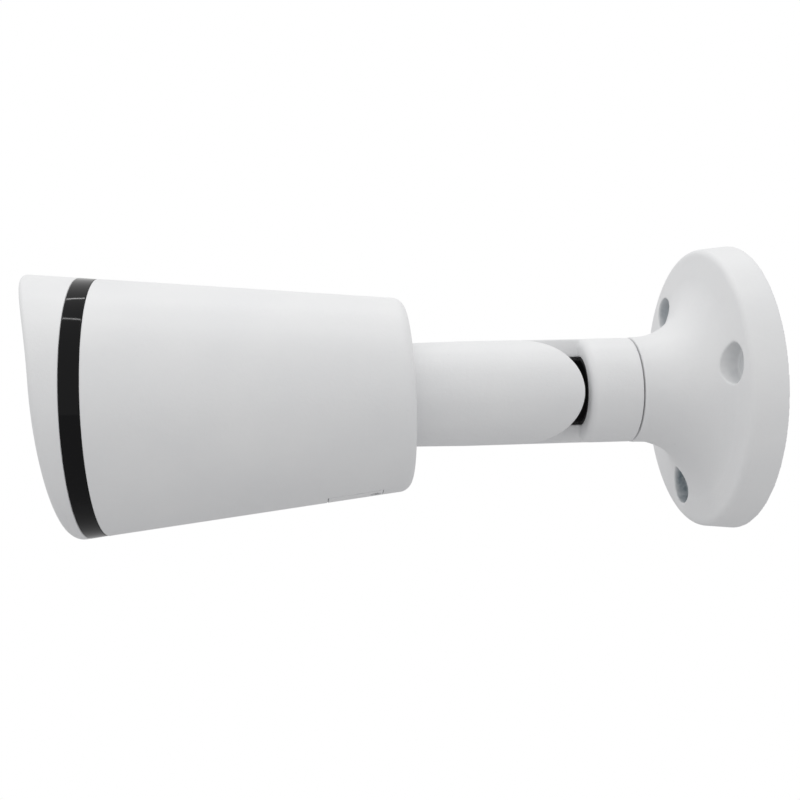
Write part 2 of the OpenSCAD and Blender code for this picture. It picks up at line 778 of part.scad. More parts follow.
module thermal_pad() color("lightgray") on_optic_axis()
  slab(pad_size[0], pad_size[1], main_board_s[1] + pad_t[0], main_board_s[1] + pad_t[1]);

module heat_spreader() color("silver") on_optic_axis()
  slab(2 * rail_x - 4 * eps, pad_size[1], main_board_s[1] + pad_t[1] + eps,
    main_board_s[1] + pad_t[1] + spreader_t);

module card_socket() color("silver") on_optic_axis() translate([card_at[0], card_at[1], 0]) difference() {
  slab(card_w, card_w, main_board_s[0] - card_t, main_board_s[0] - eps);
  translate([0, -card_w / 2, 0])
    slab(card_slot[0], 2 * card_slot[1], main_board_s[0] - card_t + card_slot[2],
      main_board_s[0] - card_slot[2]);
}

module at_reset() on_optic_axis()
  translate([reset_at[0], reset_at[1], main_board_s[0] - reset_size[1] / 2 - 2 * eps])
    rotate([90, 0, 0]) children();

module reset_switch() color("black") at_reset() difference() {
  slab(reset_size[0], reset_size[1], -reset_size[2] / 2, reset_size[2] / 2);
  rod(reset_button_r + eps, reset_bore_floor, reset_size[2] / 2 + over);
}

module reset_button() color("gainsboro") at_reset()
  rod(reset_button_r, reset_button_span[0], reset_button_span[1]);

module board_standoffs() color("gold") on_optic_axis()
  hex_posts(board_post_xy, power_board_s[1] + eps, main_board_s[0] - eps);

module power_board() color("darkgreen") on_optic_axis() difference() {
  slab(power_board_w, power_board_w, power_board_s[0], power_board_s[1]);
  at_corners(board_post_xy) rod(post_hole_r, power_board_s[0] - over, power_board_s[1] + over);
}

module network_transformer() color("black") on_optic_axis() translate([0, transformer_h, 0])
  slab(transformer_size[0], transformer_size[1], power_board_s[1] + eps,
    power_board_s[1] + transformer_size[2]);

module board_capacitors() color("midnightblue") on_optic_axis()
  for (side = [-1, 1]) translate([side * capacitor_xy[0], capacitor_xy[1], 0])
    rod(capacitor_r, power_board_s[1] + eps, power_board_s[1] + capacitor_l);

module board_screws() color("silver") on_optic_axis() at_corners(board_post_xy) {
  rod(board_screw_r, power_board_s[0] - over / 2, power_board_s[1]);
  rod(board_screw_head_r, power_board_s[0] - small_head_t, power_board_s[0] - eps);
}

module chassis_frame() color("silver") on_optic_axis() difference() {
  union() {
    rod(chassis_r, chassis_s[0], chassis_s[1]);
    for (side = [-1, 1]) translate([side * (rail_x + rail_t / 2), 0, 0])
      slab(rail_t, 2 * rail_half_h, rail_s, chassis_s[1]);
  }
  rod(barrel_r + chassis_clearance, chassis_s[0] - over, chassis_s[1] + over);
  at_angles(boss_angles, boss_ring_r)
    rod(chassis_screw_r + chassis_clearance, chassis_s[0] - over, chassis_s[1] + over);
}

module chassis_screws() color("silver") on_optic_axis() at_angles(boss_angles, boss_ring_r) {
  rod(chassis_screw_r - eps, chassis_s[0] - chassis_screw_l, chassis_s[1] + over / 2);
  rod(chassis_head_r, chassis_s[1] + eps, chassis_s[1] + small_head_t);
}

wall_flange();
pan_friction_washer();
pan_lock_screw();
swivel_neck();
cable_guide();
pan_lock_nut();
tilt_screw();
tilt_washer();
tilt_friction_disc();
arm_tube();
roll_lock_nut();
roll_seal_ring();
cable_gland();
rear_housing();
roll_friction_washer();
access_cover();
access_gasket();
access_screws();
trim_band();
front_bezel();
bezel_seal_ring();
window_trim();
window_gasket();
front_window();
window_retainer();
led_board();
led_lamps();
led_lenses();
light_sensor();
led_board_posts();
lens_shield();
lens_barrel();
lens_front_element();
lens_rear_element();
lens_motors();
zoom_cell();
zoom_lens();
focus_cell();
focus_lens();
ir_cut_housing();
ir_cut_solenoid();
ir_cut_filter();
lens_holder();
image_sensor();
sensor_board();
sensor_standoffs();
main_board();
processor();
thermal_pad();
heat_spreader();
card_socket();
reset_switch();
reset_button();
board_standoffs();
power_board();
network_transformer();
board_capacitors();
board_screws();
chassis_frame();
chassis_screws();
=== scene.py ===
import json
import math

import bmesh
import bpy
from mathutils import Matrix, Vector


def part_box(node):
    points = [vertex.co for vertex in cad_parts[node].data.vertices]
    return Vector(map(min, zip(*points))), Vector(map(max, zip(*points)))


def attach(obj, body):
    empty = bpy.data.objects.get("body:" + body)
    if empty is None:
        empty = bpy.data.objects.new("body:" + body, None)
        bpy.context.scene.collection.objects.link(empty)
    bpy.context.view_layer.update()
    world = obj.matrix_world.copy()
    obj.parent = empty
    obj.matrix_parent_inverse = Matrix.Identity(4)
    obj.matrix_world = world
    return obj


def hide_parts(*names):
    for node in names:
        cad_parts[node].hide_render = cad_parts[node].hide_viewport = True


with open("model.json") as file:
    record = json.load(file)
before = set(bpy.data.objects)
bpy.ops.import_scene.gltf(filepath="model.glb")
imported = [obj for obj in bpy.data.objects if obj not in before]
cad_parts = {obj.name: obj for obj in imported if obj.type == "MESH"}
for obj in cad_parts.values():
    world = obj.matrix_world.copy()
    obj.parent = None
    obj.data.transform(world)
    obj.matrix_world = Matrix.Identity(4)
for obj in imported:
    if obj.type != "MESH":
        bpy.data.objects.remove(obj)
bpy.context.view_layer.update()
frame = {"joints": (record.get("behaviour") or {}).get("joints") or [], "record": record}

MM = 0.001
TURN = 2 * math.pi

# ---------------------------------------------------------------- places taken from the frame


def side(node, axis, high):
    """One side of a CAD node's box, in millimetres."""
    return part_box(node)[1 if high else 0][axis] / MM


def joint(name):
    """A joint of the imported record."""
    return next(j for j in frame["joints"] if j["name"] == name)


def joint_s(name):
    """A joint's distance from the wall, in millimetres."""
    return -joint(name)["pos_m"][1] / MM


SEAM_S = -side("wall_flange", 1, False)
FLANGE_R = side("wall_flange", 0, True)
NECK_R = side("swivel_neck", 0, True)
NECK_START_S = SEAM_S + 0.4                 # the visible seam
PIVOT_S = joint_s("tilt")
LUG_R = -side("swivel_neck", 1, False) - PIVOT_S
LUG_GAP = 2.5
SHOULDER = LUG_R + LUG_GAP
CABLE_R = side("cable_guide", 2, True) + 0.1
ARM_R = side("arm_tube", 0, True)
ARM_END_S = 103.9
BAND_S0 = 194.8
BAND_S1 = 200.15
OPTIC_H = (side("front_window", 2, True) + side("front_window", 2, False)) / 2

# The housing's cone: radius and centre height at a distance s from the wall
CONE_S = 102.9
CONE_R = 29.85
CONE_TAPER = 0.097
AXIS_S = 106.0
AXIS_H = 0.155
DROOP = math.tan(math.radians(1.07))


def cone_r(s):
    return CONE_R + CONE_TAPER * (s - CONE_S)


def cone_h(s):
    return AXIS_H - DROOP * (s - AXIS_S)


# ---------------------------------------------------------------- node material helpers


class Nodes:
    """A material's node tree, with short calls to add and link nodes."""

    def __init__(self, name):
        self.material = bpy.data.materials.new(name)
        self.material.use_nodes = True
        self.tree = self.material.node_tree
        self.tree.nodes.clear()
        self.output = self.add("ShaderNodeOutputMaterial")
        self.shader = self.add("ShaderNodeBsdfPrincipled")
        self.link(self.shader.outputs[0], self.output.inputs[0])
        self.place = self.add("ShaderNodeTexCoord").outputs["Object"]

    @classmethod
    def reopen(cls, material):
        """The nodes of a finished material, to add to."""
        m = cls.__new__(cls)
        m.material = material
        m.tree = material.node_tree
        m.shader = next(n for n in m.tree.nodes if n.type == "BSDF_PRINCIPLED")
        m.place = next(n for n in m.tree.nodes if n.type == "TEX_COORD").outputs["Object"]
        return m

    def add(self, kind, **settings):
        node = self.tree.nodes.new(kind)
        for key, value in settings.items():
            setattr(node, key, value)
        return node

    def link(self, source, target):
        self.tree.links.new(source, target)

    def set(self, **values):
        for key, value in values.items():
            self.shader.inputs[key.replace("_", " ")].default_value = value
        return self

    def noise(self, scale, detail=3.0, rough=0.5, stretch=None):
        tex = self.add("ShaderNodeTexNoise")
        tex.inputs["Scale"].default_value = scale
        tex.inputs["Detail"].default_value = detail
        tex.inputs["Roughness"].default_value = rough
        place = self.place
        if stretch:
            mapping = self.add("ShaderNodeMapping")
            mapping.inputs["Scale"].default_value = stretch
            self.link(place, mapping.inputs[0])
            place = mapping.outputs[0]
        self.link(place, tex.inputs["Vector"])
        return tex.outputs["Fac"]

    def spots(self, scale, feature="F1"):
        tex = self.add("ShaderNodeTexVoronoi", feature=feature)
        tex.inputs["Scale"].default_value = scale
        self.link(self.place, tex.inputs["Vector"])
        return tex.outputs["Distance"]

    def span(self, value, low, high, to_low, to_high):
        """Maps one range of a value onto another, and stops at its ends."""
        node = self.add("ShaderNodeMapRange")
        self.link(value, node.inputs["Value"])
        keys = ("From Min", "From Max", "To Min", "To Max")
        for key, number in zip(keys, (low, high, to_low, to_high)):
            node.inputs[key].default_value = number
        return node.outputs["Result"]

    def blend(self, fac, a, b):
        """Mixes two colours, each a tuple or a socket."""
        node = self.add("ShaderNodeMix", data_type="RGBA")
        self.link(fac, node.inputs["Factor"])
        for key, value in zip((6, 7), (a, b)):
            if isinstance(value, tuple):
                node.inputs[key].default_value = (*value, 1.0)
            else:
                self.link(value, node.inputs[key])
        return node.outputs[2]

    def math(self, how, a, b):
        node = self.add("ShaderNodeMath", operation=how)
        for socket, value in zip(node.inputs, (a, b)):
            if isinstance(value, (int, float)):
                socket.default_value = value
            else:
                self.link(value, socket)
        return node.outputs[0]

    def bump(self, height, strength, distance, under=None):
        node = self.add("ShaderNodeBump")
        node.inputs["Strength"].default_value = strength
        node.inputs["Distance"].default_value = distance
        self.link(height, node.inputs["Height"])
        if under:
            self.link(under, node.inputs["Normal"])
        return node.outputs["Normal"]

    def to(self, name, value):
        self.link(value, self.shader.inputs[name])
        return self

    def edges(self, low, high):
        """1 on the convex edges of a dense mesh, 0 elsewhere."""
        point = self.add("ShaderNodeNewGeometry").outputs["Pointiness"]
        return self.span(point, low, high, 0.0, 1.0)


def powder_coat(name="powder_coat_white"):
    """Satin white powder coat: orange peel, clouding, dust, and greyer edges."""
    m = Nodes(name)
    clouds = m.noise(28.0, 4.0, 0.55)
    grains = m.spots(2600.0)
    dust = m.span(m.spots(520.0), 0.0, 0.10, 1.0, 0.0)
    rare = m.span(m.noise(180.0, 2.0), 0.62, 0.70, 0.0, 1.0)
    speck = m.math("MULTIPLY", dust, rare)
    tint = m.blend(m.span(clouds, 0.3, 0.7, 0.0, 1.0), (0.80, 0.805, 0.815), (0.845, 0.848, 0.852))
    tint = m.blend(m.math("MULTIPLY", speck, 0.35), tint, (0.52, 0.51, 0.50))
    worn = m.math("MULTIPLY", m.edges(0.53, 0.60), m.span(m.noise(140.0, 3.0), 0.45, 0.60, 0.0, 0.45))
    tint = m.blend(worn, tint, (0.70, 0.71, 0.73))
    m.to("Base Color", tint)
    m.to("Roughness", m.span(clouds, 0.3, 0.7, 0.40, 0.50))
    peel = m.bump(m.noise(900.0, 2.0, 0.6), 0.10, 0.0004)
    m.to("Normal", m.bump(grains, 0.045, 0.0002, under=peel))
    m.set(Specular_IOR_Level=0.5, Coat_Weight=0.12, Coat_Roughness=0.28)
    return m.material


def flange_coat(holes):
    """The same powder coat, with painted shade inside the screw recesses: a mottled blue-grey that fades
    in below each recess's mouth.

    Each recess has its own strength of grey, matched to the photograph's brightness.
    """
    material = powder_coat("powder_coat_flange")
    m = Nodes.reopen(material)
    split = m.add("ShaderNodeSeparateXYZ")
    m.link(m.place, split.inputs[0])
    deep = m.span(split.outputs["Y"], -0.0112, -0.0092, 0.0, 1.0)
    ragged = m.span(m.noise(260.0, 3.0), 0.3, 0.7, -0.0004, 0.0004)
    # Painted shade: a mask over the inside of each screw recess, at that recess's own strength.
    recess_shade = None
    for (x, h), strength in zip(holes, RECESS_SHADE):
        flat = m.add("ShaderNodeVectorMath", operation="MULTIPLY")
        flat.inputs[1].default_value = (1.0, 0.0, 1.0)
        m.link(m.place, flat.inputs[0])
        away = m.add("ShaderNodeVectorMath", operation="DISTANCE")
        away.inputs[1].default_value = (x * MM, 0.0, h * MM)
        m.link(flat.outputs[0], away.inputs[0])
        reach = m.math("ADD", away.outputs["Value"], ragged)
        hole = m.span(reach, 0.0058, 0.0066, strength, 0.0)
        recess_shade = hole if recess_shade is None else m.math("MAXIMUM", recess_shade, hole)
    front = m.span(split.outputs["Y"], -0.0062, -0.0058, 1.0, 0.0)
    recess_shade = m.math("MULTIPLY", m.math("MULTIPLY", recess_shade, deep), front)
    mottle = m.span(m.noise(420.0, 4.0, 0.7), 0.35, 0.65, 0.0, 1.0)
    grey = m.blend(mottle, (0.24, 0.285, 0.315), (0.41, 0.46, 0.49))
    painted = m.shader.inputs["Base Color"].links[0].from_socket
    # Painted shade: the mottled blue-grey is mixed over the coat inside each screw recess.
    m.to("Base Color", m.blend(recess_shade, painted, grey))
    return material


def piano_black():
    """Polished black plastic with faint polishing haze and dust."""
    m = Nodes("trim_gloss_black")
    haze = m.noise(60.0, 3.0, 0.6, stretch=(1.0, 6.0, 1.0))
    dust = m.span(m.spots(900.0), 0.0, 0.08, 1.0, 0.0)
    rare = m.span(m.noise(240.0, 2.0), 0.60, 0.72, 0.0, 1.0)
    specks = m.math("MULTIPLY", dust, rare)
    m.to("Base Color", m.blend(specks, (0.006, 0.006, 0.0065), (0.03, 0.03, 0.03)))
    m.to("Roughness", m.span(haze, 0.3, 0.7, 0.035, 0.07))
    m.to("Normal", m.bump(m.noise(140.0, 2.0), 0.04, 0.0003))
    m.set(Specular_IOR_Level=0.13)
    return m.material


def moulded(name, low, high, rough=(0.45, 0.62), grain=1400.0, strength=0.12):
    """Moulded plastic or a coated package: fine grain and a slight change of tone."""
    m = Nodes(name)
    tone = m.noise(70.0, 4.0, 0.6)
    m.to("Base Color", m.blend(m.span(tone, 0.3, 0.7, 0.0, 1.0), low, high))
    m.to("Roughness", m.span(tone, 0.3, 0.7, *rough))
    m.to("Normal", m.bump(m.spots(grain), strength, 0.0001))
    return m.material


def metal(name, low, high, rough, stretch=(1.0, 1.0, 1.0), grain=1800.0):
    """Bare or plated metal with tool marks and handled patches."""
    m = Nodes(name)
    patches = m.noise(90.0, 4.0, 0.65)
    marks = m.noise(grain, 2.0, 0.6, stretch=stretch)
    m.to("Base Color", m.blend(m.span(patches, 0.3, 0.7, 0.0, 1.0), low, high))
    worn = m.span(patches, 0.3, 0.7, *rough)
    m.to("Roughness", m.math("ADD", worn, m.span(marks, 0.3, 0.7, -0.05, 0.05)))
    m.to("Normal", m.bump(marks, 0.15, 0.00008))
    m.set(Metallic=1.0)
    return m.material


def board_green():
    """Solder mask over copper: traces show as slightly raised lighter lines."""
    m = Nodes("circuit_board_green")
    cells = m.spots(420.0, "DISTANCE_TO_EDGE")
    trace = m.span(cells, 0.03, 0.06, 1.0, 0.0)
    pads = m.span(m.spots(950.0), 0.10, 0.14, 1.0, 0.0)
    rare = m.span(m.noise(160.0), 0.55, 0.6, 0.0, 1.0)
    tint = m.blend(trace, (0.006, 0.055, 0.022), (0.014, 0.115, 0.045))
    m.to("Base Color", m.blend(m.math("MULTIPLY", pads, rare), tint, (0.75, 0.66, 0.42)))
    m.to("Roughness", m.span(m.noise(300.0), 0.3, 0.7, 0.28, 0.42))
    m.to("Normal", m.bump(trace, 0.25, 0.0001))
    return m.material


def clear_glass(name, tint, rough=0.02, ior=1.5):
    """Clear glass or acrylic with faint smears."""
    m = Nodes(name)
    smears = m.noise(55.0, 4.0, 0.6)
    m.to("Roughness", m.span(smears, 0.35, 0.75, rough, rough + 0.05))
    darker = tuple(0.97 * c for c in tint)
    m.to("Base Color", m.blend(m.span(smears, 0.3, 0.7, 0.0, 1.0), tint, darker))
    m.set(Transmission_Weight=1.0, IOR=ior)
    return m.material


def copper_winding():
    """Enamelled wire wound side by side."""
    m = Nodes("copper_winding")
    wave = m.add("ShaderNodeTexWave", bands_direction="X")
    wave.inputs["Scale"].default_value = 900.0
    m.link(m.place, wave.inputs["Vector"])
    m.to("Base Color", m.blend(wave.outputs["Fac"], (0.38, 0.13, 0.05), (0.80, 0.36, 0.16)))
    m.to("Roughness", m.span(m.noise(200.0), 0.3, 0.7, 0.25, 0.4))
    m.to("Normal", m.bump(wave.outputs["Fac"], 0.5, 0.0001))
    m.set(Metallic=1.0)
    return m.material


MATERIALS = {
    "white_paint": powder_coat(),
    "black_gloss": piano_black(),
    "black_plastic": moulded("moulded_black", (0.012, 0.012, 0.013), (0.024, 0.024, 0.026)),
    "black_rubber": moulded(
        "rubber_black", (0.010, 0.010, 0.010), (0.021, 0.021, 0.021), (0.62, 0.8), 1000.0, 0.2),
    "zinc_steel": metal("zinc_plate", (0.52, 0.53, 0.55), (0.68, 0.68, 0.67), (0.22, 0.38)),
    "brass_post": metal("turned_brass", (0.62, 0.44, 0.18), (0.78, 0.60, 0.30), (0.2, 0.34), (1, 8, 1)),
    "circuit_board": board_green(),
    "window_glass": clear_glass("window_glass", (0.96, 0.98, 0.98)),
    "lens_glass": clear_glass("lens_glass", (0.78, 0.84, 0.96), 0.01, 1.6),
    "bare_aluminium": metal("blasted_aluminium", (0.58, 0.59, 0.60), (0.70, 0.71, 0.72), (0.4, 0.55)),
    "chip_black": moulded(
        "chip_package", (0.014, 0.014, 0.016), (0.03, 0.03, 0.033), (0.4, 0.55), 2400.0, 0.2),
    "led_package": moulded(
        "lamp_package", (0.72, 0.64, 0.34), (0.86, 0.80, 0.52), (0.3, 0.45), 2000.0, 0.1),
    "led_optic": clear_glass("lamp_optic", (0.93, 0.93, 0.95), 0.04, 1.49),
    "thermal_pad": moulded(
        "silicone_pad", (0.38, 0.40, 0.44), (0.48, 0.50, 0.54), (0.6, 0.75), 900.0, 0.2),
    "copper_coil": copper_winding(),
    "nylon_grey": moulded(
        "nylon_grey", (0.36, 0.36, 0.35), (0.44, 0.44, 0.43), (0.4, 0.55), 1200.0, 0.1),
    "filter_glass": clear_glass("filter_glass", (0.72, 0.22, 0.28), 0.02, 1.52),
    "capacitor_sleeve": moulded(
        "capacitor_sleeve", (0.012, 0.016, 0.05), (0.02, 0.028, 0.08), (0.2, 0.3), 1500.0, 0.05),
}
SLOT_OF = {row["node"]: row["material_slot"] for row in frame["record"]["subparts"]}

# ---------------------------------------------------------------- mesh helpers


def finish_mesh(bm, name, smooth=True):
    """Turns a bmesh into an object in the scene."""
    bmesh.ops.remove_doubles(bm, verts=bm.verts, dist=1e-7)
    bmesh.ops.recalc_face_normals(bm, faces=bm.faces)
    mesh = bpy.data.meshes.new(name)
    bm.to_mesh(mesh)
    bm.free()
    obj = bpy.data.objects.new(name, mesh)
    bpy.context.scene.collection.objects.link(obj)
    for face in mesh.polygons:
        face.use_smooth = smooth
    return obj


def point(x, h, s):
    """A place in metres from sideways, height and distance from the wall in millimetres."""
    return Vector((x * MM, -s * MM, h * MM))


def rings_to_mesh(rings, name, closed=True):
    """Skins a list of rings of equal length. A closed list also joins its last ring to its first."""
    bm = bmesh.new()
    rows = [[bm.verts.new(p) for p in ring] for ring in rings]
    pairs = list(zip(rows, rows[1:])) + ([(rows[-1], rows[0])] if closed else [])
    for a, b in pairs:
        for i in range(len(a)):
            j = (i + 1) % len(a)
            bm.faces.new((a[i], a[j], b[j], b[i]))
    return finish_mesh(bm, name)


def polar(r, degrees):
    """The two parts of a length that lies at an angle."""
    rad = math.radians(degrees)
    return r * math.cos(rad), r * math.sin(rad)


def turns(steps):
    """Angles in radians, evenly round a circle."""
    return [TURN * i / steps for i in range(steps)]


def arc(cx, cy, r, a0, a1, steps):
    """Points of an arc in degrees, ends included."""
    points = []
    for i in range(steps + 1):
        along, up = polar(r, a0 + (a1 - a0) * i / steps)
        points.append((cx + along, cy + up))
    return points


def lathe(profile, name, steps=256):
    """Turns a closed outline of (radius, s) points about the arm's axis."""
    rings = [[point(r * math.cos(t), r * math.sin(t), s) for t in turns(steps)] for r, s in profile]
    return rings_to_mesh(rings, name)


def cylinder(name, r, start, end, steps=128):
    """A plain round tool between two places, for cutting other meshes."""
    axis = (end - start).normalized()
    up = Vector((0, 0, 1)) if abs(axis.z) < 0.9 else Vector((1, 0, 0))
    a = axis.cross(up).normalized()
    b = axis.cross(a)
    bm = bmesh.new()
    rows = []
    for centre in (start, end):
        ring = [centre + r * MM * (a * math.cos(t) + b * math.sin(t)) for t in turns(steps)]
        rows.append([bm.verts.new(place) for place in ring])
    for i in range(steps):
        j = (i + 1) % steps
        bm.faces.new((rows[0][i], rows[0][j], rows[1][j], rows[1][i]))
    bm.faces.new(rows[0])
    bm.faces.new(list(reversed(rows[1])))
    return finish_mesh(bm, name, smooth=False)


def lengthwise(name, r, s0, s1, steps):
    """A cylinder on the arm's axis."""
    return cylinder(name, r, point(0, 0, s0), point(0, 0, s1), steps)


def crosswise(name, r, x0, x1, steps=128):
    """A cylinder on the tilt pivot."""
    return cylinder(name, r, point(x0, 0, PIVOT_S), point(x1, 0, PIVOT_S), steps)


def block(name, low, high):
    """A plain box tool between two corners, for cutting other meshes."""
    bm = bmesh.new()
    bmesh.ops.create_cube(bm, size=1.0)
    size = high - low
    middle = (high + low) / 2
    placed = Matrix.Translation(middle) @ Matrix.Diagonal((*size, 1.0))
    bmesh.ops.transform(bm, matrix=placed, verts=bm.verts)
    return finish_mesh(bm, name, smooth=False)


def apply_modifiers(obj):
    """Makes the result of an object's modifiers its own mesh."""
    bpy.context.view_layer.update()
    graph = bpy.context.evaluated_depsgraph_get()
    mesh = bpy.data.meshes.new_from_object(obj.evaluated_get(graph))
    obj.modifiers.clear()
    old = obj.data
    obj.data = mesh
    bpy.data.meshes.remove(old)
    return obj


def combine(obj, how, *tools):
    """Cuts, joins or intersects obj with each tool, and removes the tools."""
    for tool in tools:
        mod = obj.modifiers.new("combine", "BOOLEAN")
        mod.operation = how
        mod.solver = "EXACT"
        mod.object = tool
        apply_modifiers(obj)
        bpy.data.objects.remove(tool)
    return obj


def soften(obj, voxel, passes):
    """Remeshes a casting so that its edges carry the round of a painted casting."""
    remesh = obj.modifiers.new("remesh", "REMESH")
    remesh.mode = "VOXEL"
    remesh.voxel_size = voxel * MM
    remesh.use_smooth_shade = True
    smooth = obj.modifiers.new("smooth", "SMOOTH")
    smooth.factor = 0.5
    smooth.iterations = passes
    apply_modifiers(obj)
    for face in obj.data.polygons:
        face.use_smooth = True
    return obj


def dress(obj, body, node, slot=None):
    """Gives a new piece its material, and puts it on its body in place of a CAD node."""
    slot = slot or SLOT_OF[node]
    obj.data.materials.clear()
    obj.data.materials.append(MATERIALS[slot])
    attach(obj, body)
    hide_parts(node)
    return obj


def sharp_by_angle(obj, degrees):
    """Smooth shading that keeps edges steeper than an angle crisp."""
    limit = math.radians(degrees)
    bm = bmesh.new()
    bm.from_mesh(obj.data)
    for edge in bm.edges:
        edge.smooth = len(edge.link_faces) == 2 and edge.calc_face_angle(0.0) < limit
    for face in bm.faces:
        face.smooth = True
    bm.to_mesh(obj.data)
    bm.free()


def ease_edges(obj):
    """Rounds the steep edges of a shell a little and shades the rest smooth."""
    bevel = obj.modifiers.new("edges", "BEVEL")
    bevel.width = EASED_EDGE * MM
    bevel.segments = 2
    bevel.limit_method = "ANGLE"
    bevel.angle_limit = math.radians(50)
    apply_modifiers(obj)
    sharp_by_angle(obj, 34)


EASED_EDGE = 0.22

# ---------------------------------------------------------------- wall flange

SCREW_RING_R = 33.6
SCREW_ANGLES = (12.0, 132.0, 252.0)
SCREW_FLOOR_S = 6.5
SCREW_HOLE_R = 2.4
SCREW_HEAD_R = 6.0
SCREW_BOSS_R = 8.0
RECESS_SHADE = (0.15, 0.55, 1.0)             # strength of the painted shade in each screw recess, in the order of the angles
LOCK_HOLE_S = 26.0
LOCK_HOLE_R = 2.05
FLANGE_ROOF_S = 6.0
FLANGE_INNER_R = 41.0
FLANGE_WELL_R = 20.0
FLANGE_WELL_S = 12.0
BORE_R = 13.05
FLANGE_DRAFT = 0.9
FLANGE_EDGE_R = 2.0
FLANGE_RIM_S = 8.5
TRUMPET_BASE_R = 16.7
TRUMPET_R = 19.2


def flange_shell():
    """The round base: a hollow dish with three screw bosses, flaring into the neck."""
    profile = [(BORE_R, FLANGE_WELL_S), (FLANGE_WELL_R, FLANGE_WELL_S)]
    profile += [(FLANGE_WELL_R, FLANGE_ROOF_S), (FLANGE_INNER_R, FLANGE_ROOF_S)]
    profile += [(FLANGE_INNER_R, 0.0), (FLANGE_R, 0.0)]
    edge_centre_r = FLANGE_R - FLANGE_DRAFT - FLANGE_EDGE_R
    profile += arc(edge_centre_r, FLANGE_RIM_S, FLANGE_EDGE_R, 5, 85, 10)
    profile += arc(TRUMPET_BASE_R + TRUMPET_R, 30.0, TRUMPET_R, 270, 180, 40)
    profile += [(TRUMPET_BASE_R, SEAM_S), (BORE_R, SEAM_S)]
    body = lathe(profile, "flange_shell", 512)
    bosses, holes = [], []
    centres = [polar(SCREW_RING_R, angle) for angle in SCREW_ANGLES]
    for x, h in centres:
        bosses.append(cylinder("boss", SCREW_BOSS_R, point(x, h, 0.0), point(x, h, 7.0)))
        holes.append(cylinder("hole", SCREW_HOLE_R, point(x, h, -1.0), point(x, h, 9.0), 64))
        recess_start, recess_end = point(x, h, SCREW_FLOOR_S), point(x, h, 30.0)
        holes.append(cylinder("recess", SCREW_HEAD_R, recess_start, recess_end))
    combine(body, "UNION", *bosses)
    combine(body, "DIFFERENCE", *holes)
    lock_start, lock_end = point(0, 0, LOCK_HOLE_S), point(0, -30, LOCK_HOLE_S)
    combine(body, "DIFFERENCE", cylinder("lock_hole", LOCK_HOLE_R, lock_start, lock_end, 48))
    soften(body, 0.33, 4)
    dress(body, "wall_base", "wall_flange")
    body.data.materials[0] = flange_coat(centres)
    return body


# ---------------------------------------------------------------- hinge castings

SHOULDER_ROUND = 3.0
LAP_GAP = 0.15                              # from the pivot's plane to each lug
HINGE_BOSS_R = 5.0
HINGE_BOSS_X = 12.0
HINGE_HOLE_R = 2.55
HINGE_HEAD_R = 4.5
ARM_TIP_R = 16.12


def lug_tools(end_r, x0, x1, s0, s1):
    """The two solids that bound one hinge lug: a slab beside the lap face and its round end."""
    slab_low = Vector((x0 * MM, -s1 * MM, -0.05))
    slab_high = Vector((x1 * MM, -s0 * MM, 0.05))
    slab = block("lug_slab", slab_low, slab_high)
    end = crosswise("lug_end", end_r, x0, x1, 256)
    return slab, end


def pocket(x0, x1, s0, s1):
    """The round cable way inside one hinge lug, closed by a round end about the pivot."""
    shape = lengthwise("pocket", CABLE_R, PIVOT_S - 40, PIVOT_S + 40, 192)
    slab, end = lug_tools(CABLE_R, x0, x1, s0, s1)
    combine(slab, "UNION", end)
    return combine(shape, "INTERSECT", slab)


def neck_casting():
    """The swivel neck: a collar with a spigot into the flange, and one lug of the lap."""
    shoulder_s = PIVOT_S - SHOULDER
    profile = [(CABLE_R, NECK_START_S), (NECK_R, NECK_START_S)]
    profile += arc(NECK_R - SHOULDER_ROUND, shoulder_s - SHOULDER_ROUND, SHOULDER_ROUND, 0, 90, 12)
    profile += [(CABLE_R, shoulder_s)]
    collar = lathe(profile, "neck_casting", 384)
    spigot_r, spigot_s0, spigot_s1 = 13.0, 7.2, NECK_START_S + 1
    outline = [(CABLE_R, spigot_s0), (spigot_r, spigot_s0), (spigot_r, spigot_s1), (CABLE_R, spigot_s1)]
    spigot = lathe(outline, "spigot", 256)
    combine(collar, "UNION", spigot)
    root_s = shoulder_s - SHOULDER_ROUND - 1
    lug = lengthwise("lug", NECK_R, root_s, PIVOT_S + LUG_R + 2, 384)
    slab, end = lug_tools(LUG_R, -45.0, -LAP_GAP, root_s - 1, PIVOT_S)
    combine(slab, "UNION", end)
    combine(lug, "INTERSECT", slab)
    combine(lug, "DIFFERENCE", pocket(-45.0, 1.0, shoulder_s - 5, PIVOT_S))
    combine(lug, "UNION", crosswise("boss", HINGE_BOSS_R, -HINGE_BOSS_X, -2 * LAP_GAP))
    combine(lug, "DIFFERENCE", crosswise("screw_hole", HINGE_HOLE_R, -40, 1, 64))
    combine(lug, "DIFFERENCE", crosswise("screw_seat", HINGE_HEAD_R, -40, -HINGE_BOSS_X, 96))
    combine(lug, "DIFFERENCE", lengthwise("bore", CABLE_R, 5, shoulder_s, 384))
    combine(collar, "UNION", lug)
    soften(collar, 0.3, 4)
    return dress(collar, "pan_neck", "swivel_neck")


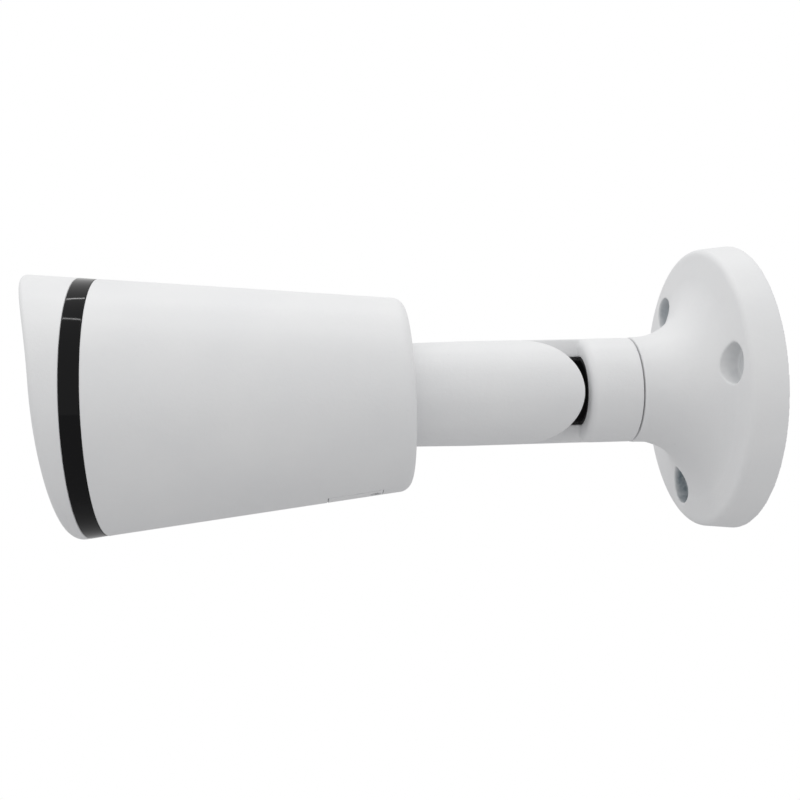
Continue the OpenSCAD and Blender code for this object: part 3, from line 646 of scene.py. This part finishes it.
def arm_casting():
    """The arm tube: the other lug of the lap, and a spigot into the housing."""
    shoulder_s = PIVOT_S + SHOULDER
    outline = [(CABLE_R, shoulder_s), (ARM_R, shoulder_s), (ARM_TIP_R, ARM_END_S), (CABLE_R, ARM_END_S)]
    tube = lathe(outline, "arm_casting", 384)
    spigot = lathe([(9.5, 99.0), (12.5, 99.0), (12.5, 111.0), (9.5, 111.0)], "spigot", 256)
    combine(tube, "UNION", spigot)
    lug = lengthwise("lug", ARM_R, PIVOT_S - LUG_R - 2, shoulder_s + 1, 384)
    slab, end = lug_tools(LUG_R, LAP_GAP, 45.0, PIVOT_S, shoulder_s + 2)
    combine(slab, "UNION", end)
    combine(lug, "INTERSECT", slab)
    combine(lug, "DIFFERENCE", pocket(-1.0, 45.0, PIVOT_S, shoulder_s + 5))
    combine(lug, "UNION", crosswise("boss", HINGE_BOSS_R, 2 * LAP_GAP, HINGE_BOSS_X))
    combine(lug, "DIFFERENCE", crosswise("screw_hole", HINGE_HOLE_R, -1, 11.5, 64))
    combine(lug, "DIFFERENCE", lengthwise("bore", CABLE_R, shoulder_s, shoulder_s + 5, 384))
    combine(tube, "UNION", lug)
    soften(tube, 0.3, 4)
    return dress(tube, "tilt_arm", "arm_tube")


# ---------------------------------------------------------------- camera housing

CAST_ROUND = 0.35                           # on the edges beside the trim band
EDGE_R = 4.0
EDGE_BULGE = 0.37
RECESS_S = 104.3
RECESS_R = 16.6
GLAND_R = 12.56
FLOOR_S = 107.0
COVER_HALF_W = 12.0
COVER_S0 = 111.6
COVER_S1 = 128.5
COVER_SCREW_S = 114.6
COVER_SCREW_ANGLES = (-105.0, -75.0)
COVER_GAP = 0.25
COVER_T = 1.8
PORT_HALF_W = 9.6
PORT_S0 = 117.2
PORT_S1 = 126.4
LEDGE = 2.4
WALL = 3.8
SEAT_R = 34.5
SEAT_S = 186.0
AROUND = 360


def skin(r, angle, s, tilt=1.0, centre=None):
    """A point round the housing.

    tilt is 1 in a plane square to the housing's own axis, and 0 in one square to the arm's.
    """
    h = r * math.sin(angle)
    middle = cone_h(s) if centre is None else centre
    return point(r * math.cos(angle), middle + h, s + tilt * DROOP * h)


def along_axis(place):
    """Distance along the housing's own axis of a point on its skin, in millimetres."""
    s = -place.y / MM
    return s - DROOP * (place.z / MM - cone_h(s))


def cover_angles(r):
    """Angles round a ring, spread so that two of them meet the access cover's sides."""
    half = math.asin(COVER_HALF_W / r)
    bottom = -math.pi / 2
    inside = 64
    angles = [bottom - half + 2 * half * i / inside for i in range(inside)]
    outside = AROUND - inside
    angles += [bottom + half + (TURN - 2 * half) * i / outside for i in range(outside)]
    return angles


def cover_end(s):
    """Where a cover end, square to the arm's axis, meets the housing's lowest line.

    The result is a distance along the housing's own axis.
    """
    return s + DROOP * cone_r(s)


def housing_shell():
    """The tapered housing, from the recess for the arm round to the cavity's floor."""
    back = arc(CONE_R + EDGE_BULGE - EDGE_R, CONE_S + EDGE_R, EDGE_R, 270, 355, 14)
    rows = []
    even = cover_angles(CONE_R)

    def add(r, s, tilt=1.0, centre=None, angles=even):
        rows.append([skin(r, angle, s, tilt, centre) for angle in angles])

    # Recess for the arm, its rounded mouth, the back face, and the round back edge
    add(GLAND_R, FLOOR_S, 0.0, 0.0)
    add(GLAND_R, RECESS_S, 0.0, 0.0)
    add(RECESS_R, RECESS_S, 0.0, 0.0)
    add(RECESS_R, CONE_S + 0.55, 0.0, 0.0)
    add(RECESS_R + 0.12, CONE_S + 0.25, 0.3, 0.0)
    add(RECESS_R + 0.45, CONE_S + 0.02, 0.8, 0.0)
    mouth_r = RECESS_R + 0.45
    for i in range(1, 5):
        add(mouth_r + (back[0][0] - mouth_r) * i / 5, CONE_S, 1.0, cone_h(CONE_S) * i / 5)
    for r, s in back:
        add(r, s)
    # Side, with rings on the cover's ends, out to the rounded edge beside the trim band
    stops = [108.0, 110.0, cover_end(COVER_S0)]
    stops += [114.0 + 2.0 * i for i in range(7)]
    stops += [cover_end(COVER_S1)]
    stops += [131.0 + 2.0 * i for i in range(32)]
    for s in stops:
        add(cone_r(s), s, angles=cover_angles(cone_r(s)))
    edge_s = BAND_S0 - 0.05
    front_r = cone_r(edge_s)
    for r, s in arc(front_r - CAST_ROUND, edge_s - CAST_ROUND, CAST_ROUND, 0, 90, 5):
        add(r, s, angles=cover_angles(front_r))
    # Seat for the bezel, the cavity, and the floor
    add(SEAT_R, edge_s, centre=OPTIC_H)
    add(SEAT_R, SEAT_S, 0.0, OPTIC_H)
    for s in (SEAT_S - 0.4, 150.0, 110.0):
        add(cone_r(s) - WALL, s)
    add(cone_r(110.0) - WALL, FLOOR_S, 0.0)
    shell = rings_to_mesh(rows, "housing_shell")
    sink_cover_pocket(shell)
    port = block("port", point(-PORT_HALF_W, -45, PORT_S1), point(PORT_HALF_W, -20, PORT_S0))
    combine(shell, "DIFFERENCE", port)
    ease_edges(shell)
    return dress(shell, "camera_body", "rear_housing")


def sink_cover_pocket(shell):
    """Pushes the access cover's place into the shell, with square sides."""
    bm = bmesh.new()
    bm.from_mesh(shell.data)
    inside = []
    for face in bm.faces:
        centre = face.calc_center_median()
        s = along_axis(centre)
        low = centre.z / MM < -cone_r(s) * 0.75
        between = cover_end(COVER_S0) < s < cover_end(COVER_S1)
        if low and between and abs(centre.x) / MM < COVER_HALF_W:
            inside.append(face)
    made = bmesh.ops.extrude_face_region(bm, geom=inside)
    moved = {g for g in made["geom"] if isinstance(g, bmesh.types.BMVert)}
    for vert in moved:
        s = -vert.co.y / MM
        middle = Vector((0, vert.co.y, cone_h(s) * MM))
        out = (vert.co - middle).normalized()
        vert.co -= out * LEDGE * MM
    bmesh.ops.delete(bm, geom=[f for f in inside if f.is_valid], context="FACES")
    bmesh.ops.recalc_face_normals(bm, faces=bm.faces)
    bm.to_mesh(shell.data)
    bm.free()


def access_lid():
    """The cover under the housing: a curved plate with rounded edges and two countersunk screw seats."""
    half = COVER_HALF_W - COVER_GAP
    s0, s1 = cover_end(COVER_S0) + COVER_GAP, cover_end(COVER_S1) - COVER_GAP
    across, along = 48, 20
    bm = bmesh.new()
    layers = []
    for inset in (0.0, COVER_T):
        rows = []
        for j in range(along + 1):
            s = s0 + (s1 - s0) * j / along
            r = cone_r(s)
            row = []
            for i in range(across + 1):
                x = -half + 2 * half * i / across
                row.append(bm.verts.new(skin(r - inset, math.asin(x / r) - math.pi / 2, s)))
            rows.append(row)
        layers.append(rows)
    top, low = layers
    for j in range(along):
        for i in range(across):
            bm.faces.new((top[j][i], top[j][i + 1], top[j + 1][i + 1], top[j + 1][i]))
            bm.faces.new((low[j][i], low[j + 1][i], low[j + 1][i + 1], low[j][i + 1]))
    for i in range(across):
        bm.faces.new((top[0][i], low[0][i], low[0][i + 1], top[0][i + 1]))
        bm.faces.new((top[along][i], top[along][i + 1], low[along][i + 1], low[along][i]))
    for j in range(along):
        bm.faces.new((top[j][0], top[j + 1][0], low[j + 1][0], low[j][0]))
        bm.faces.new((top[j][across], low[j][across], low[j + 1][across], top[j + 1][across]))
    lid = finish_mesh(bm, "access_lid")
    centre = point(0, cone_h(COVER_SCREW_S), COVER_SCREW_S)
    r = cone_r(COVER_SCREW_S)
    for angle in COVER_SCREW_ANGLES:
        across_part, up_part = polar(1.0, angle)
        out = Vector((across_part, -DROOP * up_part, up_part))
        outside = centre + out * (r + 3) * MM
        seat = cylinder("seat", 1.65, centre + out * (r - 1.0) * MM, outside, 96)
        hole = cylinder("hole", 1.05, centre + out * (r - 4.0) * MM, outside, 64)
        combine(lid, "DIFFERENCE", seat, hole)
    ease_edges(lid)
    return dress(lid, "camera_body", "access_cover")


# ---------------------------------------------------------------- trim band and hood

HOOD_LEAN = math.radians(4.9)
HOOD_BEND_R = 91.3
HOOD_BEND_H = 6.0
HOOD_BEND_S = 208.28
HOOD_WALL = 3.2
HOOD_FLOOR_S = 203.6
HOOD_TOP_ROUND = 1.15
HOOD_LOW_ROUND = 3.7
SPIGOT_R = 34.4


def hood_front_s(h):
    """The slanted front edge: a straight line that bends forward above the bend height."""
    if h < HOOD_BEND_H:
        return HOOD_BEND_S + (h - HOOD_BEND_H) * math.tan(HOOD_LEAN)
    middle_h = HOOD_BEND_H - HOOD_BEND_R * math.sin(HOOD_LEAN)
    middle_s = HOOD_BEND_S + HOOD_BEND_R * math.cos(HOOD_LEAN)
    return middle_s - math.sqrt(HOOD_BEND_R ** 2 - (h - middle_h) ** 2)


def trim_ring():
    """The black band, with a small round on each edge."""
    rows = []
    angles = turns(512)
    round_r = 0.3
    sunk = 0.02

    def add(r, s, centre=None):
        rows.append([skin(r, angle, s, 1.0, centre) for angle in angles])

    add(SPIGOT_R + 0.15, BAND_S0, OPTIC_H)
    edges = arc(cone_r(BAND_S0) - round_r, BAND_S0 + round_r, round_r, -90, 0, 6)
    edges += arc(cone_r(BAND_S1) - round_r, BAND_S1 - round_r, round_r, 0, 90, 6)
    for r, s in edges:
        add(r - sunk, s)
    add(SPIGOT_R + 0.15, BAND_S1, OPTIC_H)
    ring = rings_to_mesh(rows, "trim_ring")
    sharp_by_angle(ring, 50)
    return dress(ring, "camera_body", "trim_band")


def fillet(corner, along_u, along_v, radius, steps):
    """Points of a round that joins two lines leaving a corner."""
    u = along_u.normalized()
    v = along_v.normalized()
    half = math.acos(max(-1.0, min(1.0, u.dot(v)))) / 2
    centre = corner + (u + v).normalized() * (radius / math.sin(half))
    start = corner + u * (radius / math.tan(half))
    end = corner + v * (radius / math.tan(half))
    a, b = start - centre, end - centre
    total = a.angle(b)
    points = []
    for i in range(steps + 1):
        t = i / steps
        swing = a * math.sin((1 - t) * total) + b * math.sin(t * total)
        points.append(centre + swing / math.sin(total))
    return points


def hood_column(angle):
    """The hood's outline at one angle: (radius, distance along the housing's own axis) rows."""
    sine = math.sin(angle)
    start_s = BAND_S1 + 0.05

    def front(inset):
        """Where the front edge's surface meets the cone, found by steps."""
        s = 210.0
        for _ in range(12):
            h = (cone_r(s) - inset) * sine
            s = hood_front_s(cone_h(s) + h) - DROOP * h
        return Vector((cone_r(s) - inset, s))

    outer = front(0.0)
    inner = front(HOOD_WALL)
    low = (1.0 - sine) / 2
    radius = HOOD_TOP_ROUND + (HOOD_LOW_ROUND - HOOD_TOP_ROUND) * low ** 2.2
    back = Vector((cone_r(start_s), start_s))
    face = inner - outer
    radius = min(radius, 0.8 * (outer - back).length, 1.35 * face.length)
    rim = fillet(outer, back - outer, face, radius, 10)
    floor_r = cone_r(HOOD_FLOOR_S) - HOOD_WALL
    floor_s = HOOD_FLOOR_S - DROOP * floor_r * sine
    lip_r = min(0.5, 0.4 * (inner.y - floor_s))
    lip = fillet(inner, outer - inner, Vector((floor_r, floor_s)) - inner, lip_r, 3)
    rows = arc(cone_r(start_s) - CAST_ROUND, start_s + CAST_ROUND, CAST_ROUND, -90, 0, 5)
    edge = Vector(rows[-1])
    for i in range(1, 10):
        rows.append(tuple(edge.lerp(rim[0], i / 10)))
    rows += [tuple(p) for p in rim]
    rows += [tuple(p) for p in lip]
    corner = min(0.5, 0.4 * (lip[-1].y - floor_s))
    for i in range(1, 6):
        rows.append(tuple(lip[-1].lerp(Vector((floor_r, floor_s + corner)), i / 5)))
    rows += [(floor_r - 0.3 * corner, floor_s + 0.3 * corner), (floor_r - corner, floor_s)]
    return rows


def hood():
    """The white hood: its outside, and inside it the window's seat and the grooved spigot."""
    seat_r, bore_r, groove_r = 29.7, 31.6, 32.6
    inner = [(seat_r, HOOD_FLOOR_S), (seat_r, 202.6), (bore_r, 202.6), (bore_r, 187.0)]
    inner += [(SPIGOT_R, 187.0), (SPIGOT_R, 188.5), (groove_r, 188.5), (groove_r, 190.5)]
    inner += [(SPIGOT_R, 190.5)]
    columns = []
    for angle in turns(512):
        column = [skin(r, angle, s) for r, s in hood_column(angle)]
        column += [skin(r, angle, s, 0.0, OPTIC_H) for r, s in inner]
        columns.append(column + [skin(SPIGOT_R, angle, BAND_S1 + 0.05, 1.0, OPTIC_H)])
    rings = [[column[j] for column in columns] for j in range(len(columns[0]))]
    obj = rings_to_mesh(rings, "hood")
    sharp_by_angle(obj, 50)
    return dress(obj, "camera_body", "front_bezel")


# ---------------------------------------------------------------- build

flange_shell()
neck_casting()
arm_casting()
housing_shell()
access_lid()
trim_ring()
hood()

for name, slot in SLOT_OF.items():
    node = bpy.data.objects.get(name)
    if node and node.type == "MESH":
        node.data.materials.clear()
        node.data.materials.append(MATERIALS[slot])

# ---------------------------------------------------------------- stage, light and camera

FLOOR_Z = -0.26
FLOOR_HALF = 3.0
SKY_LEVEL = 0.855
# The lights' levels and places are set to the photograph's shading and its two streaks
LIGHT_AIM = Vector((0.0, -0.11, 0.0))
LIGHT_REACH = 0.62
TUBE_LENGTH = 0.7
TUBE_WIDTH = 0.014
TUBES = (("tube_near", 78.0, 0.42), ("tube_far", 108.0, 0.35))
# The camera is the one that a least-squares fit to the photograph's outlines gave
CAMERA_PLACE = (0.31996, -0.13763, 0.00007)
CAMERA_LENS = 46.33
CAMERA_RIGHT = (0.1016, 0.99452, -0.02466)
CAMERA_BACK = (0.99482, -0.10151, 0.00487)


def stage_floor():
    """A floor that is white to the camera, and mid grey to the light that it sends back."""
    bm = bmesh.new()
    for x, y in ((-1, -1), (1, -1), (1, 1), (-1, 1)):
        bm.verts.new((x * FLOOR_HALF, y * FLOOR_HALF, FLOOR_Z))
    bm.faces.new(bm.verts)
    floor = finish_mesh(bm, "stage_floor", smooth=False)
    m = Nodes("floor_white")
    m.to("Base Color", m.blend(m.noise(3.0), (0.54, 0.54, 0.545), (0.57, 0.57, 0.575)))
    m.to("Roughness", m.span(m.noise(12.0), 0.3, 0.7, 0.7, 0.8))
    glow = m.add("ShaderNodeEmission")
    glow.inputs["Strength"].default_value = 1.0
    seen = m.add("ShaderNodeLightPath").outputs["Is Camera Ray"]
    mix = m.add("ShaderNodeMixShader")
    m.link(seen, mix.inputs[0])
    m.link(m.shader.outputs[0], mix.inputs[1])
    m.link(glow.outputs[0], mix.inputs[2])
    m.link(mix.outputs[0], m.output.inputs[0])
    floor.data.materials.append(m.material)


def tube_light(name, energy, place):
    """A long thin light, aimed at the middle of the object."""
    data = bpy.data.lights.new(name, "AREA")
    data.shape = "RECTANGLE"
    data.size = TUBE_LENGTH
    data.size_y = TUBE_WIDTH
    data.energy = energy
    obj = bpy.data.objects.new(name, data)
    obj.location = place
    obj.rotation_euler = (LIGHT_AIM - place).to_track_quat("-Z", "Y").to_euler()
    bpy.context.scene.collection.objects.link(obj)


def studio_world():
    """An even sky: white to the camera, and a little less as light."""
    world = bpy.data.worlds.new("studio")
    bpy.context.scene.world = world
    world.use_nodes = True
    tree = world.node_tree
    background = tree.nodes["Background"]
    background.inputs["Color"].default_value = (1.0, 1.0, 1.0, 1.0)
    level = tree.nodes.new("ShaderNodeMapRange")
    level.inputs["To Min"].default_value = SKY_LEVEL
    level.inputs["To Max"].default_value = 1.0
    seen = tree.nodes.new("ShaderNodeLightPath").outputs["Is Camera Ray"]
    tree.links.new(seen, level.inputs["Value"])
    tree.links.new(level.outputs["Result"], background.inputs["Strength"])


def photo_camera():
    """The camera, at the photograph's angle."""
    data = bpy.data.cameras.new("camera")
    data.lens = CAMERA_LENS
    data.sensor_width = 36.0
    data.clip_start = 0.01
    camera = bpy.data.objects.new("camera", data)
    bpy.context.scene.collection.objects.link(camera)
    back = Vector(CAMERA_BACK)
    up = back.cross(Vector(CAMERA_RIGHT)).normalized()
    right = up.cross(back).normalized()
    turn = Matrix((right, up, back.normalized())).transposed().to_4x4()
    camera.matrix_world = Matrix.Translation(CAMERA_PLACE) @ turn
    bpy.context.scene.camera = camera


stage_floor()
studio_world()
for name, elevation, energy in TUBES:
    sideways, up = polar(LIGHT_REACH, elevation)
    tube_light(name, energy, LIGHT_AIM + Vector((sideways, -0.02, up)))
photo_camera()
bpy.context.scene.view_settings.view_transform = "Standard"
